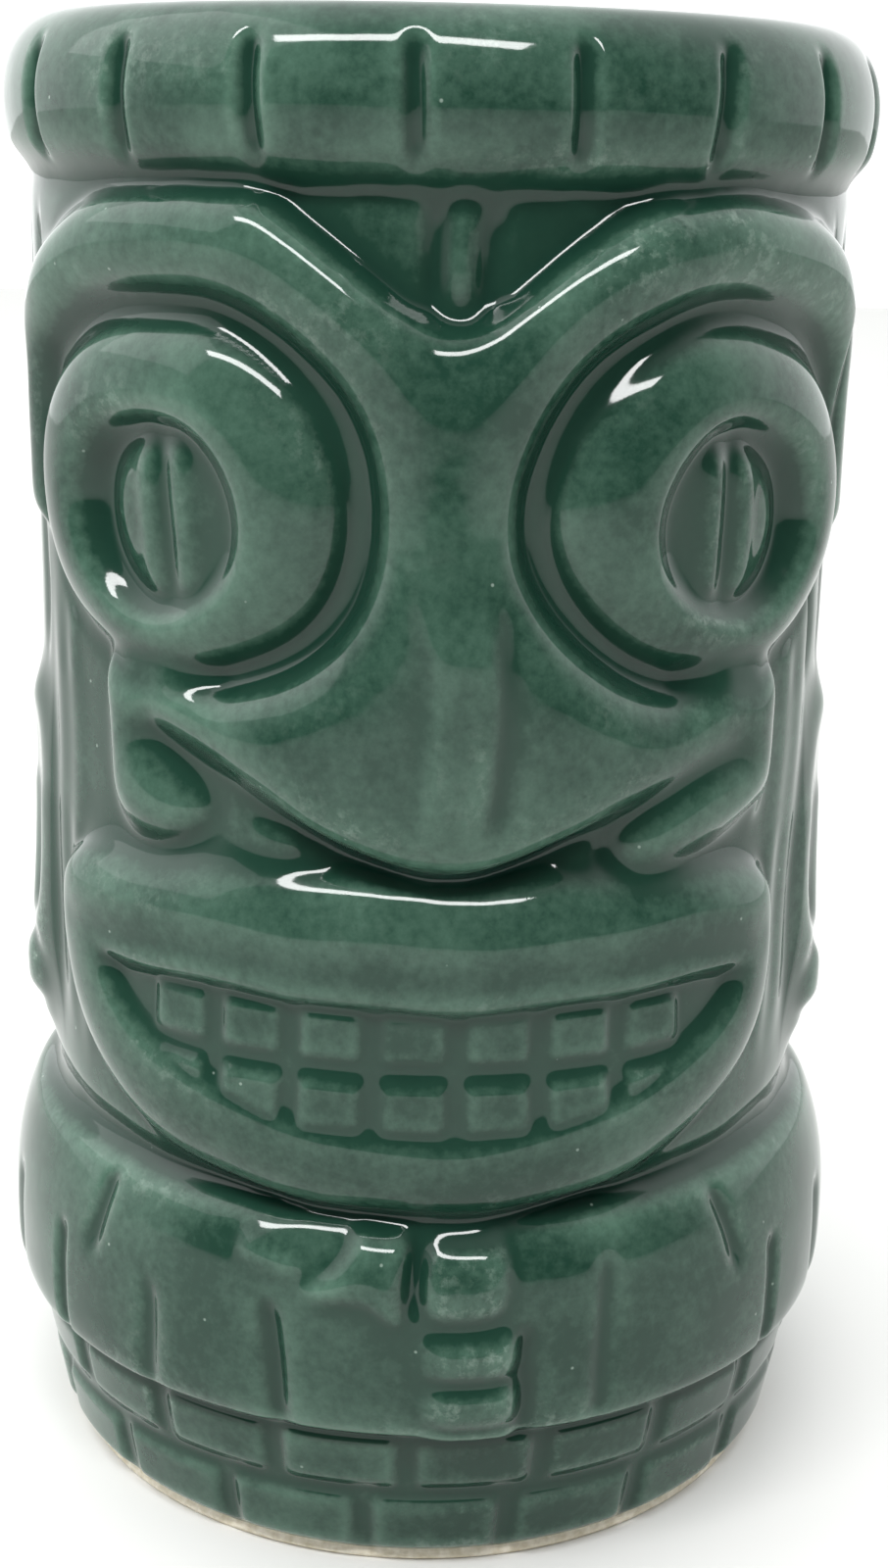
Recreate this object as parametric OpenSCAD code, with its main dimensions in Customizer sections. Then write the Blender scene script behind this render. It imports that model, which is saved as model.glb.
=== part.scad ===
// Tiki mug: one slip-cast clay body, carved all over, with its coats of glaze as separate skins.
// Millimetres. +Z is up, the foot stands on Z = 0 and the face looks along -Y.

/* [Overall] */
// Height from the foot to the crest of the lip
mug_h = 155; // [128:1:190]
// Widest diameter of the rim band
band_d = 90; // [75:1:108]
// Diameter of the head behind the carving
head_d = 84.6; // [78:0.2:100]
// Widest diameter of the belly
belly_d = 95; // [86:0.5:116]
// Diameter of the foot where it stands
foot_d = 82.4; // [68:0.2:92]
// How far the belly overhangs the brick base
belly_lap = 2.5; // [1.5:0.1:4]

/* [Zones] */
// Height of the rim band, from its crease to the crest
band_h = 15; // [12:0.5:20]
// Height of the brick base
base_h = 18; // [15:0.5:22]
// Height of the belly above the brick base
belly_h = 23; // [19:0.5:28]

/* [Walls and glaze] */
// Clay wall behind the deepest smooth surface
wall = 4.5; // [3.5:0.1:5.6]
// Clay between the cup floor and the underside recess
floor_t = 5; // [4:0.1:8]
// Thickness of every coat of glaze
glaze_t = 0.5; // [0.3:0.05:0.8]
// Bare clay left showing above the foot
bare_foot = 1.6; // [0.8:0.1:3]
// Width of the flat crest where the two coats meet
crest_w = 1; // [0.8:0.1:2]
// How far the outside of the lip rolls in
lip_roll = 5.7; // [4.7:0.1:6.9]
// Height of the rolled part of the lip
lip_rise = 7.5; // [6:0.1:9]
// Rounding between the cup wall and its floor
floor_r = 8; // [5:0.5:12]

/* [Underside] */
// Width of the ring that the mug stands on
foot_ring_w = 6.5; // [5:0.1:10]
// Depth of the recess inside the foot ring
recess_h = 2.5; // [1.5:0.1:4]
// Gap between the underside coat and the recess wall
patch_gap = 1; // [0.5:0.1:3]
// Depth of the chamfer round the foot
foot_chamfer = 0.6; // [0.3:0.1:1.2]

/* [Rim band] */
// Number of carved notches round the band
notch_n = 19; // [12:1:24]
// Depth of each notch
notch_d = 0.8; // [0.4:0.1:1.2]
// Width of each notch
notch_w = 3.2; // [2:0.1:4.5]
// Depth of the creases between the zones
crease_d = 1; // [0.5:0.1:1.5]
// Depth of the joint between the two brick courses
joint_d = 0.8; // [0.4:0.1:1]

/* [Eyes and brows] */
// Angle from the nose to the middle of each eye
eye_turn = 38.5; // [34:0.5:44]
// Height of the eyes on the face
eye_up = 70; // [64:0.5:76]
// Width of each eye ring
eye_w = 38.6; // [34:0.2:42]
// Height of each eye ring
eye_h = 32; // [28:0.2:36]
// How far the eye rings stand out
eye_out = 3.2; // [2:0.1:4]
// Width of the hole in each eye ring
pupil_w = 18.6; // [14:0.2:22]
// How far the brows and nose bridge stand out
brow_out = 3.2; // [2:0.1:4]
// Width of the groove between each eye ring and its brow
eye_groove_w = 1.4; // [1:0.1:2.5]
// Rounding of the carved edges
edge_w = 4.5; // [3:0.1:6]
// Drop of the brow line over the nose
brow_dip = 11; // [6:0.5:14]

/* [Nose and mouth] */
// How far the nose tip stands out past the brows
nose_out = 2.4; // [1:0.1:3]
// Height of the nose's lower edge on the face at its middle
nose_up = 36.6; // [34:0.2:40]
// Half the angle that the lips cover
lip_turn = 55; // [48:0.5:58]
// How far the lips stand out
lip_out = 3.8; // [2.5:0.1:4.5]
// Half the angle that the open mouth covers
mouth_turn = 46; // [38:0.5:50]

/* [Ears] */
// How far the ears stand out
ear_out = 2.4; // [1.5:0.1:3.5]
// Angle from the nose to the middle of each ear
ear_turn = 76; // [70:1:90]
// Depth of the wood grain cut into the back of the head
grain_d = 0.5; // [0.2:0.1:0.9]

/* [Hidden] */
$fn = 96;

// The carving is drawn on a face 99 mm tall and 43 mm in radius, then stretched to the mug.
drawn_h = 99;
mm_per_deg = 43 * PI / 180;
neck_z = base_h + belly_h;
crease_z = mug_h - band_h;
face_scale = (crease_z - neck_z) / drawn_h;
crest_z = mug_h - glaze_t;
band_r = band_d / 2 - glaze_t;
head_r = head_d / 2 - glaze_t;
belly_r = belly_d / 2 - glaze_t;
foot_r = foot_d / 2;
roll_z = crest_z - lip_rise;
crest_out_r = band_r - lip_roll;
meet_r = crest_out_r - crest_w / 2;
crest_in_r = crest_out_r - crest_w;
recess_r = foot_r - foot_ring_w;
floor_z = recess_h + floor_t;
face_turn = 2;
notch_turn = -2.8;

function clamp01(x) = min(1, max(0, x));
function ease(a, b, x) = let (t = clamp01((x - a) / (b - a))) t * t * (3 - 2 * t);
// A rounded edge: 0 at the edge, 1 once it is w inside
function pillow(d, w) = let (t = clamp01(d / w)) sqrt(t * (2 - t));
function groove(d, w) = exp(-pow(d / w, 2));
// Depth inside an ellipse, measured roughly in millimetres
function in_ellipse(x, y, a, b) = (1 - norm([x / a, y / b])) * (a + b) / 2;
// Depth inside a rounded outline whose corners sharpen as p grows
function in_super(x, y, a, b, p) =
    (1 - pow(pow(abs(x) / a, p) + pow(abs(y) / b, p), 1 / p)) * b;

// Eye ring with its hole and pupil, x measured from the middle of the eye
function eye(x, y) =
    let (ring = in_ellipse(x, y, eye_w / 2, eye_h / 2),
         hole = in_ellipse(x, y + 1.5, pupil_w / 2, pupil_w / 2 * 0.97))
    eye_out * pillow(ring, 6) * (1 - pillow(hole, 2.5)) + 0.6 * ease(2, 4, hole);

// Brow, nose bridge and cheek in one mass, cut back round the eyes and above the mouth
function mask_out(x, y) =
    let (ax = abs(x),
         ex = ax - eye_turn * mm_per_deg,
         outside_eye = -in_ellipse(ex, y - eye_up, eye_w / 2 + eye_groove_w, eye_h / 2 + eye_groove_w),
         brow_top = 98 - brow_dip * (1 - ease(0, 22, ax)),
         nose_low = nose_up + 10 * ease(2, 32, ax),
         side = 37.5 + 22 * ease(50, 62, y) - ax,
         edge = min(outside_eye, brow_top - y, y - nose_low, side))
    brow_out * pillow(edge, edge_w)
    + nose_out * groove(ax, 8 + 10 * ease(60, 42, y)) * ease(80, 44, y) * pillow(y - nose_low, 3);

// Lips round the open mouth, u in degrees from the middle of the mouth
function mouth_out(u, y) =
    let (outer = in_super(u / lip_turn, y - 26.5, 1, y > 26.5 ? 8.8 : 26.3, y > 26.5 ? 5 : 2.3),
         inner = in_super(u / mouth_turn, y - 24, 1, y > 24 ? 0.8 : 15.2, 2))
    lip_out * pillow(outer, edge_w) * (1 - ease(-1.5, 1, inner)) + 0.8 * ease(0, 1.5, inner);

function nostril_out(x, y) =
    1.6 * pillow(in_ellipse(abs(x) - 28.5, y - 41 - (abs(x) - 28.5) * 0.2, 8.5, 4), 3);

function ear_out_at(t, y) =
    ear_out * pillow(in_ellipse((abs(t) - ear_turn) * mm_per_deg, y - 29, 9, 21), edge_w);

function log_grain(t, y) =
    -grain_d * groove((t / 12 - round(t / 12)) * 12, 1.6) * ease(84, 96, abs(t)) * pillow(y - 3, 6)
    * pillow(drawn_h - 3 - y, 6);

function face_relief(t, z) =
    let (y = (z - neck_z) / face_scale, x = (t - face_turn) * mm_per_deg, ax = abs(x),
         e = eye(ax - eye_turn * mm_per_deg, y - eye_up))
    max(e, mask_out(x, y), mouth_out(t, y), nostril_out(x, y), ear_out_at(t, y))
    + log_grain(t, y);

function brick_relief(t, z) = -joint_d * groove(z - base_h * 0.55, 0.9);

function band_relief(t, z) =
    let (step = 360 / notch_n, off = (t - notch_turn) / step)
    -notch_d * groove((off - round(off)) * step, notch_w / 2) * ease(0, 4, z - crease_z)
    * ease(0, 2, crest_z - 3 - z);

function relief(t, z) =
    z < base_h ? brick_relief(t, z) * ease(bare_foot, bare_foot + 4, z)
    : z < neck_z ? 0
    : z < crease_z ? face_relief(t, z)
    : band_relief(t, z);

function base_r(z) =
    foot_r + (belly_r - belly_lap - foot_r) * (z - bare_foot) / (base_h - bare_foot);

// Clay profile: [radius, height, outward radius share, outward height share] of each row
base_rows = [for (s = [0, 0.25, 0.5, 0.62, 0.8, 0.94])
    let (z = bare_foot + (base_h - bare_foot) * s) [base_r(z), z, 1, 0]];
belly_rows = [for (s = [0.03, 0.12, 0.28, 0.5, 0.68, 0.84, 0.95])
    [belly_r - (s < 0.28 ? 14 * pow(0.28 - s, 2) : (belly_r - head_r) * pow((s - 0.28) / 0.72, 3)),
     base_h + belly_h * s, 1, 0]];
face_rows = [for (i = [0:27]) [head_r, neck_z + (crease_z - neck_z) * i / 27, 1, 0]];
band_rows = [for (s = [0.12, 0.45, 1])
    [head_r + (band_r - head_r) * sin(90 * s), crease_z + (roll_z - crease_z) * s, 1, 0]];
roll_rows = [for (a = [22, 44, 64, 80, 90])
    [band_r - lip_roll + lip_roll * cos(a), roll_z + lip_rise * sin(a), cos(a), sin(a)]];
coated_rows = concat(base_rows,
    [[belly_r - belly_lap - crease_d, base_h - 0.2, 1, 0]],
    belly_rows,
    [[head_r - crease_d, neck_z - 0.3, 1, 0]],
    face_rows,
    [[head_r - crease_d, crease_z + 0.2, 1, 0]],
    band_rows, roll_rows);
foot_rows = [[foot_r - foot_chamfer, 0, 1, 0], [foot_r, foot_chamfer, 1, 0]];

// Columns stand close together at the face and further apart behind
columns = 56;
turns = [for (i = [0:columns - 1]) let (s = 2 * i / columns - 1) 180 * (0.45 * s + 0.55 * s * s * s)];

function on_skin(row, t, coat) =
    let (r = row[0] + relief(t, row[1]) * row[2] + coat * row[2])
    [r * sin(t), -r * cos(t), row[1] + coat * row[3]];

// A plain ring whose flats, the widest of them too, stay outside radius r
half_gap = max([for (i = [1:columns - 1]) turns[i] - turns[i - 1]]) / 2;
function ring_at(r, z) = let (rr = r / cos(half_gap)) [for (t = turns) [rr * sin(t), -rr * cos(t), z]];

// Triangles between neighbouring rings. Rings that run down the mug are split along the other
// diagonal, so that the two skins that touch are the same triangles.
function band_faces(a, b, down) = [for (i = [0:columns - 1]) let (j = (i + 1) % columns)
    each down
        ? [[a * columns + i, b * columns + i, a * columns + j],
           [b * columns + i, b * columns + j, a * columns + j]]
        : [[a * columns + i, b * columns + i, b * columns + j],
           [a * columns + i, b * columns + j, a * columns + j]]];

// A closed skin from a list of rings: stacked with two caps, or looped with none
module skin(rings, looped) {
    n = len(rings);
    sides = [for (k = [0:n - 2]) each band_faces(k, k + 1, rings[k][0][2] > rings[k + 1][0][2])];
    ends = looped ? band_faces(n - 1, 0, false)
        : [[for (i = [0:columns - 1]) i],
           [for (i = [columns - 1:-1:0]) (n - 1) * columns + i]];
    polyhedron([for (ring = rings) each ring], concat(sides, ends));
}

// Cup profile: the clay's inner surface follows the outside at the wall's thickness.
// The throat is its width at the rim band's crease and again at the mouth.
throat_r = min(head_r, band_r) - crease_d - wall;
hollow = max(0, min(band_r - crease_d - wall, crest_out_r) - throat_r);
mouth_h = 3;
function cup_r(z) = z < neck_z
    ? min(head_r + (belly_r - head_r) * ease(neck_z, neck_z - 12, z), base_r(z)) - crease_d - wall
    : throat_r + (head_r - crease_d - wall - throat_r) * ease(crease_z - 4, crease_z - 16, z)
      + hollow * ease(crease_z - 1, crease_z + 5, z) * ease(crest_z - mouth_h, roll_z - 1, z);

cup_heights = concat([for (s = [0:0.125:1]) floor_z + floor_r + (neck_z - floor_z - floor_r) * s],
    [crease_z - 16, crease_z - 10, crease_z - 4, crease_z - 1, crease_z + 2, crease_z + 5,
     roll_z - 1, (roll_z + crest_z - mouth_h) / 2, crest_z - mouth_h]);

function cup_outline(coat) =
    let (corner = cup_r(floor_z + floor_r) - floor_r, lip = crest_in_r - throat_r)
    concat([[0, floor_z + coat]],
        [for (a = [-90:15:-15])
            [corner + (floor_r - coat) * cos(a), floor_z + floor_r + (floor_r - coat) * sin(a)]],
        [for (z = cup_heights) [cup_r(z) - coat, z]],
        [for (a = [150:-30:90])
            [crest_in_r + (lip + coat) * cos(a), crest_z - mouth_h + (mouth_h + coat) * sin(a)]]);

module clay_body() {
    color("#d8cdb4")
    difference() {
        skin([for (row = concat(foot_rows, coated_rows)) [for (t = turns) on_skin(row, t, 0)]], false);
        rotate_extrude() polygon(concat(cup_outline(0), [[crest_in_r, crest_z + 1], [0, crest_z + 1]]));
        translate([0, 0, -1]) cylinder(r = recess_r, h = recess_h + 1);
    }
}

module outer_glaze() {
    color("#1f5a45")
    skin(concat(
        [for (row = coated_rows) [for (t = turns) on_skin(row, t, glaze_t)]],
        [ring_at(meet_r, mug_h), ring_at(meet_r, crest_z)],
        [for (k = [len(coated_rows) - 1:-1:0]) [for (t = turns) on_skin(coated_rows[k], t, 0)]]), true);
}

module inner_glaze() {
    inside = cup_outline(glaze_t);
    against_clay = cup_outline(0);
    color("#2c6b54")
    rotate_extrude() polygon(concat(inside, [[meet_r, mug_h], [meet_r, crest_z]],
        [for (k = [len(against_clay) - 1:-1:0]) against_clay[k]]));
}

module underside_glaze() {
    color("#275f4b")
    translate([0, 0, recess_h - glaze_t]) cylinder(r = recess_r - patch_gap, h = glaze_t);
}

clay_body();
outer_glaze();
inner_glaze();
underside_glaze();
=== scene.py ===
import bpy
import numpy as np
from math import cos, pi, radians, sin
from mathutils import Matrix, Vector


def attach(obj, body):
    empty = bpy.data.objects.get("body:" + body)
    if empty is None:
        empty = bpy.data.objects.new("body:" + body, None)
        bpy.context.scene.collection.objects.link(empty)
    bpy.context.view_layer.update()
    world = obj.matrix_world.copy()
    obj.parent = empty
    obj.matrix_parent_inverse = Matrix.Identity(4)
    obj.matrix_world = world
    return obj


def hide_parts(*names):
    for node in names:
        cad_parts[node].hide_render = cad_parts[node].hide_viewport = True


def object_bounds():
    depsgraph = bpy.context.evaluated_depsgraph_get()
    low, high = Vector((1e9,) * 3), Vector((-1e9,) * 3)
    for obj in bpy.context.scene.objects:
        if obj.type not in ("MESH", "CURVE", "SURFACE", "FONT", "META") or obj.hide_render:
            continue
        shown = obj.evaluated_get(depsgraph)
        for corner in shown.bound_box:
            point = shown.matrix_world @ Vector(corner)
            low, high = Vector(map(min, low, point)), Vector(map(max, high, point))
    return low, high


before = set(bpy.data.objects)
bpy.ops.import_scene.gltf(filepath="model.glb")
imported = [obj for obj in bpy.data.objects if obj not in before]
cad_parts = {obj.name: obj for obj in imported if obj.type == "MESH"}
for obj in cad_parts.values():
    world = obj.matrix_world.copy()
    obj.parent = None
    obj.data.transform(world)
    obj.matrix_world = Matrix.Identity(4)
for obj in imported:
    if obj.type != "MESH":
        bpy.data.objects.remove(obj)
cad_low, cad_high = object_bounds()


# ---------------------------------------------------------------- The carving
# The mug is slip cast from a carved master: a rim band, a mask, a folded-arm belly and two courses of bricks.
# The carving is one surface wrapped round the axis. It is drawn as a height over a smooth turned profile,
# with turn in degrees from the front and height in millimetres above the foot.
MM = 0.001 * (cad_high[2] - cad_low[2]) / 0.155

# The master's heights and radii, from the lip down to the foot, and the thickness of the coat of glaze
LIP_TOP = 155.0
ROLL_LOW = 147.0
LIP_ROLL = 5.7
CREST_W = 1.0
BAND_R = 45.0
BAND_LOW = 140.0
HEAD_R = 42.3
NECK = 41.2
BELLY_R = 47.5
BASE_TOP = 18.2
FOOT_R = 41.2
BARE_CLAY = 1.6
COAT = 0.5
MM_PER_DEG = 43 * pi / 180


def ease(a, b, x):
    """A smooth step from 0 at a to 1 at b."""
    t = np.clip((x - a) / (b - a), 0, 1)
    return t * t * (3 - 2 * t)


def pillow(depth, width):
    """A rounded edge: 0 on the outline, 1 once it is width inside."""
    t = np.clip(depth / width, 0, 1)
    return np.sqrt(t * (2 - t))


def dent(distance, width):
    """A rounded groove or ridge: 1 on its line, fading out over its width."""
    return np.exp(-((distance / width) ** 2))


def in_rounded(x, y, a, b, corner):
    """Depth in millimetres inside an outline whose corners sharpen as corner grows."""
    x, y = np.abs(x / a) + 1e-6, np.abs(y / b) + 1e-6
    out = (x ** corner + y ** corner) ** (1 / corner)
    slope = out ** (1 - corner) * np.hypot(x ** (corner - 1) / a, y ** (corner - 1) / b)
    return (1 - out) / slope


def in_ellipse(x, y, a, b):
    return in_rounded(x, y, a, b, 2.0)


def softest(values, soft):
    """The least of several depths, with the meeting lines rounded."""
    out = values[0]
    for value in values[1:]:
        near = np.clip(0.5 + 0.5 * (value - out) / soft, 0, 1)
        out = value * (1 - near) + out * near - soft * near * (1 - near)
    return out


def highest(values, soft):
    """The greatest of several heights, with the meeting lines rounded."""
    return -softest([-v for v in values], soft)


# Columns stand 0.25 mm apart over the mask and 0.6 mm apart behind; rows stand 0.35 mm apart.
# Above the upright rows, the lip rolls inwards through a quarter turn and ends in a narrow flat crest.
FRONT_TURN = 68.0
FRONT_COLUMNS, BACK_COLUMNS = 400, 280
UPRIGHT_ROWS, ROLL_ROWS, CREST_ROWS = 420, 24, 4
front = np.linspace(-FRONT_TURN, FRONT_TURN, FRONT_COLUMNS, endpoint=False)
behind = np.linspace(FRONT_TURN, 360 - FRONT_TURN, BACK_COLUMNS, endpoint=False)
turns = np.concatenate([front, behind])
turns = np.where(turns > 180, turns - 360, turns)
upright = np.linspace(BARE_CLAY, ROLL_LOW, UPRIGHT_ROWS, endpoint=False)
upright = np.concatenate([upright, np.full(ROLL_ROWS + CREST_ROWS + 1, ROLL_LOW)])
quarter = np.linspace(0, pi / 2, ROLL_ROWS + 1)
roll = np.concatenate([np.zeros(UPRIGHT_ROWS), quarter, np.full(CREST_ROWS, pi / 2)])
crest = np.concatenate([np.zeros(UPRIGHT_ROWS + ROLL_ROWS), np.linspace(0, CREST_W, CREST_ROWS + 1)])
heights = upright + (LIP_TOP - ROLL_LOW) * np.sin(roll)
lean_out, lean_up = np.cos(roll), np.sin(roll)
T, Z = np.meshgrid(turns, heights)


def turned_profile(z):
    """Radius of the smooth mug under the carving."""
    base = FOOT_R + COAT + 3.1 * (z - BARE_CLAY) / (BASE_TOP - BARE_CLAY)
    widest = 25
    above, below = np.clip((z - widest) / 16, 0, 2), np.clip((widest - z) / 7, 0, 2)
    belly = BELLY_R - 3.3 * above ** 2.6 - 0.9 * below ** 3
    belly = np.maximum(belly - 1.8 * ease(NECK - 1.2, NECK + 1.4, z), HEAD_R * (z > 30))
    band = BAND_R - 0.5 * np.clip((ROLL_LOW - z) / 4, 0, 2) ** 2
    head = HEAD_R + (band - HEAD_R) * ease(BAND_LOW - 1.4, BAND_LOW + 3.0, z)
    return np.where(z < BASE_TOP, base, np.where(z < NECK + 1.4, belly, head))


# ---- the mask, whose middle stands a little to one side of the front
FACE_TURN = 2.3
EYE_TURN = 38.6
EYE_Z = 111.2
EYE_A, EYE_B = 19.6, 16.2
CREASE_W = 3.0
HOLE_A, HOLE_B, HOLE_DROP = 9.6, 9.1, 1.5


def eyes(t, z):
    """Goggle rings, highest at the rim of the hole and falling away to the crease under the brow.

    Returns the height, the depth inside the ring, how far the crease is cut, and the depth inside the hole.
    """
    ex = (np.abs(t - FACE_TURN) - EYE_TURN) * MM_PER_DEG
    up = z - EYE_Z
    ring = in_ellipse(ex, up, EYE_A, EYE_B)
    hole = in_ellipse(ex, up + HOLE_DROP, HOLE_A, HOLE_B)
    tube = 3.9 * pillow(ring, 9.5) * (0.66 + 0.34 * pillow(-hole, 3.4))
    disc = in_ellipse(ex + 1.9, up + 1.7, 8.4, 8.0)
    bars = 1.0 * dent(ex - 0.5, 1.2) + 1.0 * dent(ex + 3.3, 1.2) - 0.8 * dent(ex + 1.4, 0.9)
    pupil = 1.6 * pillow(disc, 2.0) + bars * ease(0, 2.4, disc) - 0.1
    inside = ease(-0.5, 0.9, hole)
    # The crease is cut from under the cheek, over the top of the ring, to the temple, and fades out elsewhere
    clock = np.degrees(np.arctan2(up, -ex))
    cut = ease(-88, -66, clock) * ease(176, 140, clock)
    return np.where(ring > 0, tube * (1 - inside) + pupil * inside, -9), ring, cut, hole


def brows_nose_cheeks(t, z, ring, cut):
    """One swelling mass: brows round the eyes, the bridge between them, the nose and the curled nostrils."""
    x = (t - FACE_TURN) * MM_PER_DEG
    ax = np.abs(x)
    outside_eye = -ring - CREASE_W * cut
    # The brows' top follows the rings, and dips between them to a V over the bridge
    valley = 128.2 + 10.8 * ease(0.5, 21, ax) ** 0.85
    arch = ease(17, 25, ax)
    top = (8.8 - outside_eye + 40 * ease(-2, -14, z - EYE_Z)) * arch + (valley - z) * (1 - arch)
    # The nose ends in a low point a little to the left, and its wings rise to the curled nostrils
    off_tip = x + 0.8
    nose_low = 77.2 + (11.0 - 1.5 * np.tanh(off_tip / 3)) * ease(-3, 31, np.hypot(off_tip, 3) - 3)
    curl = softest([in_ellipse(ax - 30, z - 83.6, 7.4, 5.9), (ax - 29.2) * 0.73 - (z - 87.7) * 0.68], 0.8)
    pad = in_ellipse(ax - 27.4, z - 82.2 - (ax - 27.4) * 0.34, 10.4, 4.7)
    lobe = np.where(x < 0, curl, pad)
    low = highest([z - nose_low + 1.2 * np.maximum(ax - 29.5, 0), lobe * 1.2], 1.0)
    side = 36.7 + 34 * ease(99, 114, z) - ax
    edge = softest([outside_eye, top * (1 - 0.35 * dent(ax, 9)), low, side], 1.8)
    mass = 3.7 * pillow(edge, 5.4) * (1 - ease(43, 64, ax))
    tip_reach = 7 + 11 * ease(103, 84, z)
    tip = 1.9 * dent(ax, tip_reach) * ease(124, 84, z)
    tip = tip * pillow(z - nose_low, 4.0) * pillow(outside_eye + 1.5, 5)
    # A flat panel down the front of the nose, with a groove at its right
    panel = 0.7 * ease(-3.0, -1.4, x) * ease(4.2, 2.6, x) - 0.7 * dent(x - 4.4, 1.3)
    panel = panel * ease(106, 99, z) * ease(80, 86, z)
    # The cheek runs up onto the ring where no crease is cut, and a low shelf joins the nose to the lip
    saddle = 2.4 * dent(ring + 0.5, 2.8) * (1 - cut) * (z < EYE_Z - 4) * ease(38, 32, ax)
    shelf = 1.1 * pillow(softest([nose_low - 1.3 - z, z - 76.4, -lobe - 1.2, 26 - ax], 0.8), 3.0)
    bead = 0.6 * pillow(in_ellipse(x + 16.6, z - 79.4, 2.6, 1.3), 1.3)
    return np.maximum(mass + tip + panel * pillow(edge, 3), np.maximum(saddle, shelf + bead))


def lips(t, z):
    """Height of the lips and the mouth's floor over the head, and the depth inside the open mouth."""
    u = t * MM_PER_DEG
    widest_z = 67
    half = 56.6 * MM_PER_DEG
    off = u + 1.0
    upper = in_rounded(off, z - widest_z, half, 10.0, 4.2)
    lower = in_rounded(off, z - widest_z, half, 25.8, 2.35)
    outer = np.where(z > widest_z, upper, lower)
    slab = 4.4 * pillow(outer, 8.8) - 0.3 * dent(z - widest_z - 0.5, 2.0) * ease(3, 6, outer)
    below_top = 65.1 - 0.6 * dent(u, 18) - z
    above_low = in_rounded(u, np.minimum(z - 65.5, 0), 45.0 * MM_PER_DEG, 15.8, 1.9)
    recess = 1.9 * (0.45 + 0.55 * ease(50, 63, z)) * ease(-0.15, 0.55, below_top) * ease(-0.6, 2.0, above_low)
    opening = softest([below_top, above_low], 0.4)
    return np.where(outer > -2, slab - recess * (outer > 0), -9), opening


def ears(t, z):
    """Long ears at the sides, each with a hollow and a plug in its lobe, and strands of hair before them."""
    a = (np.abs(t) - 78) * MM_PER_DEG
    rim = in_ellipse(a, z - 68, 10.0, 22.0)
    hollow = in_ellipse(a + 0.4, z - 73, 4.8, 12.5)
    plug = in_ellipse(a, z - 54.5, 4.2, 4.2)
    ear = 2.4 * ease(-1.2, 5.5, rim) - 1.6 * ease(-1.0, 2.2, hollow)
    ear = ear + 0.7 * pillow(plug, 2.0) - 0.8 * dent(plug, 0.9)
    strand = 0.6 * dent((np.abs(t) - 57.5 - 0.03 * (z - 75)) * MM_PER_DEG, 1.5)
    strand = strand + 0.6 * dent((np.abs(t) - 63.0 - 0.02 * (z - 75)) * MM_PER_DEG, 1.7)
    return np.maximum(ear * (rim > -1.2), strand * ease(47, 60, z) * ease(106, 90, z))


def forehead(t, z):
    """The hollow over the nose: two upright cuts with a ridge between them."""
    ridge = 0.6 * dent((t - 3.4) * MM_PER_DEG, 1.3)
    cuts = 1.2 * dent((t - 0.0) * MM_PER_DEG, 1.0) + 1.1 * dent((t - 6.8) * MM_PER_DEG, 1.0)
    hollow = -0.9 * ease(26, 20, np.abs(t - FACE_TURN))
    return hollow + (ridge - cuts) * ease(128, 132, z) * ease(139.4, 137.6, z)


# ---- the belly, with folded arms, a hand and upright planks
BELLY_MM_PER_DEG = BELLY_R * pi / 180


def belly(t, z):
    """Grooves between the planks, and a hand over them: a knuckle, a thumb and three finger bars."""
    out = 0 * t
    # Each groove's turn, its lower and upper end, its slant, its depth and its half width
    for middle, low, high, tilt, depth, wide in (
        (-36.2, 19.0, 31.5, -0.06, 0.9, 1.5),
        (-18.0, 18.0, 32.5, -0.12, 1.5, 1.8),
        (23.6, 19.0, 36.5, 0.02, 0.8, 1.4),
        (43.4, 31.0, 40.5, -0.35, 1.1, 1.5),
        (-46.6, 31.0, 40.5, 0.3, 1.1, 1.5),
        (13.4, 18.0, 31.0, 0.0, 1.5, 2.2),
    ):
        off = (t - middle - tilt * (z - (low + high) / 2)) * BELLY_MM_PER_DEG
        out = out - depth * dent(off, wide * 0.62) * ease(low - 1, low + 2, z) * ease(high + 1, high - 2.5, z)
    along = (t - 5.6) * BELLY_MM_PER_DEG
    knuckle = 1.3 * pillow(in_rounded(along, z - 36.2, 4.4, 3.8, 3.6), 1.9)
    flank = -8.8 - 0.3 * np.clip(39.6 - z, 0, 9) ** 1.7
    left, right = (t - flank) * BELLY_MM_PER_DEG, (-1.6 - t) * BELLY_MM_PER_DEG
    thumb = softest([left, right, 40.3 - z, z - 33.4 + 2.2 * ease(-7, -1.5, t)], 0.9)
    thumb = 1.4 * pillow(thumb, 2.2)
    gap = -0.9 * dent((t + 0.5) * BELLY_MM_PER_DEG, 0.9) * ease(32, 34, z) * ease(41, 39, z)
    fingers = 0 * t
    for middle, half in ((28.3, 2.35), (22.8, 2.4), (18.6, 1.3)):
        bar = in_rounded(along - 0.6, z - middle, 5.4, half, 4.5)
        fingers = np.maximum(fingers, 1.35 * pillow(bar, 1.6) * ease(-6.2, -1.0, along))
    beside = (t + 19) * BELLY_MM_PER_DEG
    almond = 0.8 * pillow(in_ellipse(beside, z - 37.0 + beside * 0.145, 3.6, 1.7), 1.7)
    return out + np.maximum(np.maximum(knuckle, thumb), np.maximum(fingers, almond)) + gap


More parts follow.
